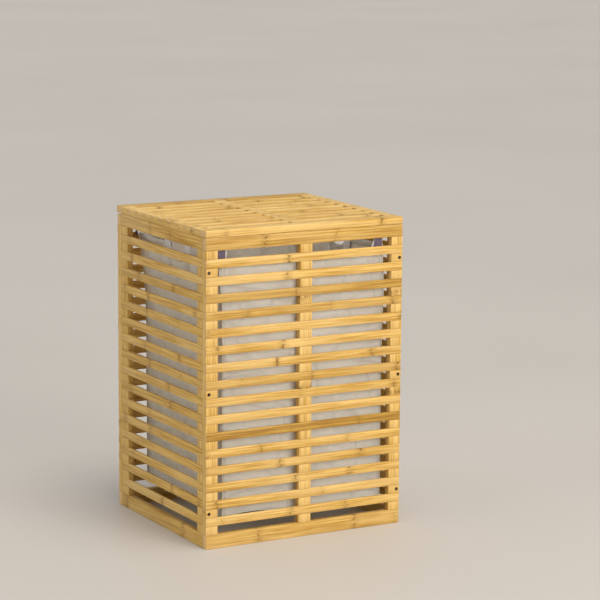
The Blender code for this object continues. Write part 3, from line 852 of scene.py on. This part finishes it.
# Corner straps, each hooked to the inner face of a top rail by a patch of hook tape
STRAP_THICKNESS, TAPE_THICKNESS = 0.0013, 0.0011
STRAP_LEAN = {"left": 0.0, "right": 0.003}
SEWN_FROM, SEWN_TO, ON_RAIL = 0.5305, 0.538, 0.560      # heights along a strap
TAPE_LEVELS = (0.541, 0.553, 0.566)
TAPE_SHIFT = 0.0016          # a patch lies this much off its strap, away from the middle
strap_top = min(BODY_TOP, BACK_TOP) - 0.004
for side, sign in (("left", -1), ("right", 1)):
    for face, rail, wall, inward in (("front", FRONT_INNER, BAG_FRONT, 1),
                                     ("back", BACK_INNER, BAG_BACK, -1)):
        x, lean = STRAP_X[side], STRAP_LEAN[side]
        near = rail + inward * 0.0024
        sewn = wall + inward * 0.0026
        points = [(x - lean, sewn, SEWN_FROM), (x - lean, sewn, SEWN_TO), (x, wall * 0.6 + near * 0.4, HEM),
                  (x + lean, near, ON_RAIL), (x + lean, near, strap_top)]
        path = smooth_path(points)
        ribbon(f"strap_{face}_{side}", path, [(1, 0, 0)] * len(path), 2 * STRAP_HALF, STRAP_THICKNESS,
               WEBBING)
        patch = [(x + sign * TAPE_SHIFT, rail + inward * 0.0010, z)
                 for z in (*TAPE_LEVELS, strap_top - 0.002)]
        ribbon(f"hook_tape_{face}_{side}", patch, [(1, 0, 0)] * len(patch), 2 * STRAP_HALF - 0.0035,
               TAPE_THICKNESS, HOOK_TAPE)

# Carry handles, one on each side wall: two legs sewn to the hem, and a loop that hangs inside
HANDLE_WIDTH, HANDLE_THICKNESS = 0.022, 0.0016
for side, sign in (("left", -1), ("right", 1)):
    wall_out = sign * (BAG_HALF + 0.0024)
    wall_in = sign * (BAG_HALF - 0.0040)
    near, far = BAG_MIDDLE - HANDLE_LEG, BAG_MIDDLE + HANDLE_LEG
    # Half of the loop: x, how far it has come from the leg towards the other one, and z
    half_loop = [(wall_out, 0.0, 0.524), (wall_out, 0.0, 0.538), (sign * BAG_HALF, 0.0, HEM + 0.0020),
                 (wall_in, 0.001, 0.538), (wall_in - sign * 0.002, 0.006, 0.512),
                 (wall_in - sign * 0.004, 0.022, 0.492)]
    points = [(x, near + inset, z) for x, inset, z in half_loop]
    points.append((wall_in - sign * 0.005, BAG_MIDDLE, 0.485))
    points += [(x, far - inset, z) for x, inset, z in reversed(half_loop)]
    path = smooth_path(points)
    across = []
    for i in range(len(path)):
        ahead = path[min(i + 1, len(path) - 1)] - path[max(i - 1, 0)]
        flat = Vector((0, ahead.y, ahead.z))
        flat = flat.normalized() if flat.length > 1e-6 else Vector((0, 0, 1))
        across.append(Vector((0, flat.z, -flat.y)))
    ribbon(f"handle_{side}", path, across, HANDLE_WIDTH, HANDLE_THICKNESS, WEBBING)


# ---------------------------------------------------------------------------
# Screws and hinges
# ---------------------------------------------------------------------------
TURNED_SEGMENTS = 24
LEAF_THICKNESS = 0.0008
LEAF_SLACK = 0.00005         # between a leaf and the box it is in
LEAF_SCREW_SHARES = (0.22, 0.78)
LEAF_SCREW_INSET = 0.0055


def lathe(name, profile, place, axis, material, body):
    """Turned piece. The profile runs from the top of its axis down; axis is where its top points."""
    shape = bmesh.new()
    rings = []
    segments = TURNED_SEGMENTS
    for radius, height in profile:
        if radius < 1e-6:
            rings.append([shape.verts.new((0, 0, height))])
        else:
            rings.append([shape.verts.new((radius * math.cos(2 * math.pi * k / segments),
                                           radius * math.sin(2 * math.pi * k / segments), height))
                          for k in range(segments)])
    for upper, lower in zip(rings, rings[1:]):
        for k in range(segments):
            m = (k + 1) % segments
            corners = [upper[k % len(upper)], lower[k % len(lower)],
                       lower[m % len(lower)], upper[m % len(upper)]]
            shape.faces.new(list(dict.fromkeys(corners)))
    bmesh.ops.recalc_face_normals(shape, faces=shape.faces)
    mesh = finished(name, shape)
    turn = Vector((0, 0, 1)).rotation_difference(Vector(axis)).to_matrix().to_4x4()
    mesh.transform(Matrix.Translation(place) @ turn)
    piece = add_piece(name, mesh, material, body)
    mesh.set_sharp_from_angle(angle=math.radians(40))
    return piece


for face, inward in (("front", 1), ("back", -1)):
    for side in ("left", "right"):
        for level in LEVELS:
            node = f"{face}_screw_{side}_{level}"
            low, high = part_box(node)
            radius = (high.x - low.x) / 2
            length = high.y - low.y
            profile = [(0, -0.0016), (0.0007, -0.0014), (0.0013, -0.0002), (radius * 0.72, 0.0),
                       (radius * 0.93, -0.0004), (radius, -0.0010), (radius, -0.0020),
                       (radius / 2, -0.0021), (radius / 2, -length * 0.85), (0, -length)]
            head = low.y if inward > 0 else high.y
            place = ((low.x + high.x) / 2, head, (low.z + high.z) / 2)
            screw = lathe(node + "_turned", profile, place, (0, -inward, 0), BROWNED, BODY)
            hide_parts(node)

for side in ("left", "right"):
    for part, material in (("panel_leaf", BRASSED), ("lid_leaf", BRASSED), ("pin", PIN_STEEL)):
        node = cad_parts[f"hinge_{side}_{part}"]
        node.data.materials.clear()
        node.data.materials.append(material)
    for part, body, up in (("panel_leaf", BODY, 1), ("lid_leaf", LID, -1)):
        low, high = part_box(f"hinge_{side}_{part}")
        face_z = low.z + LEAF_SLACK + LEAF_THICKNESS if up > 0 else high.z - LEAF_SLACK - LEAF_THICKNESS
        for k, share in enumerate(LEAF_SCREW_SHARES):
            x = low.x + share * (high.x - low.x)
            y = low.y + LEAF_SCREW_INSET
            profile = [(0, 0.00002), (0.0006, 0.00005), (0.0007, 0.0002), (0.0015, 0.0002), (0.0021, 0.00005),
                       (0.0021, -0.0004), (0, -0.0005)]
            lathe(f"hinge_{side}_{part}_screw_{k + 1}", profile, (x, y, face_z), (0, 0, up), BRASSED, body)


# ---------------------------------------------------------------------------
# Studio: pale floor, soft lights, camera
# ---------------------------------------------------------------------------
floor_shape = bmesh.new()
bmesh.ops.create_grid(floor_shape, x_segments=8, y_segments=8, size=40.0)
floor_mesh = finished("floor", floor_shape)
floor = new_object("floor", floor_mesh)
floor_mesh.materials.append(floor_material())
floor.location.z = min(0.0, cad_box[0][2])


def soft_sun(name, origin, energy, colour):
    """Even light from the direction of origin, wide enough for soft shadows."""
    light = bpy.data.lights.new(name, "SUN")
    light.energy = energy
    light.angle = math.radians(40)
    light.color = colour
    new_object(name, light).rotation_euler = Vector(origin).to_track_quat("Z", "Y").to_euler()


soft_sun("ceiling", (0.10, -0.30, 1.0), 1.65, (1.0, 0.985, 0.955))

WINDOW_AT, WINDOW_SIZE = Vector((0.75, -4.0, 1.75)), (2.2, 1.8)
window = bpy.data.lights.new("window", "AREA")
window.shape = "RECTANGLE"
window.size, window.size_y = WINDOW_SIZE
window.energy = 94
window.color = (1.0, 0.975, 0.93)
window_lamp = new_object("window", window)
window_lamp.location = WINDOW_AT
window_lamp.rotation_euler = (WINDOW_AT - Vector((0, 0, 0.3))).to_track_quat("Z", "Y").to_euler()
window_lamp.visible_camera = False

soft_sun("side_fill", (-1.0, 0.02, 0.22), 0.62, (0.88, 0.97, 1.0))

world = bpy.data.worlds.new("studio")
bpy.context.scene.world = world
world.use_nodes = True
sky = world.node_tree.nodes["Background"].inputs
sky["Color"].default_value = (0.92, 0.96, 1.03, 1.0)
sky["Strength"].default_value = 0.50
bpy.context.scene.view_settings.view_transform = "Standard"

AZIMUTH = math.radians(-29.33)
ELEVATION = math.radians(10.12)
ROLL = math.radians(0.41)
DISTANCE = 4.809
SIDEWAYS, UPWARD = 0.0823, 0.1241
back = Vector((math.sin(AZIMUTH) * math.cos(ELEVATION), -math.cos(AZIMUTH) * math.cos(ELEVATION),
               math.sin(ELEVATION)))
level = Vector((math.cos(AZIMUTH), math.sin(AZIMUTH), 0.0))
upright = back.cross(level)
eye = Vector((0, 0, LID_TOP / 2)) + back * DISTANCE + level * SIDEWAYS + upright * UPWARD
right = math.cos(ROLL) * level + math.sin(ROLL) * upright
above = math.cos(ROLL) * upright - math.sin(ROLL) * level
lens = bpy.data.cameras.new("camera")
lens.lens = 148.1
lens.sensor_width = 36.0
camera = new_object("camera", lens)
camera.matrix_world = Matrix.Translation(eye) @ Matrix((right, above, back)).transposed().to_4x4()
bpy.context.scene.camera = camera
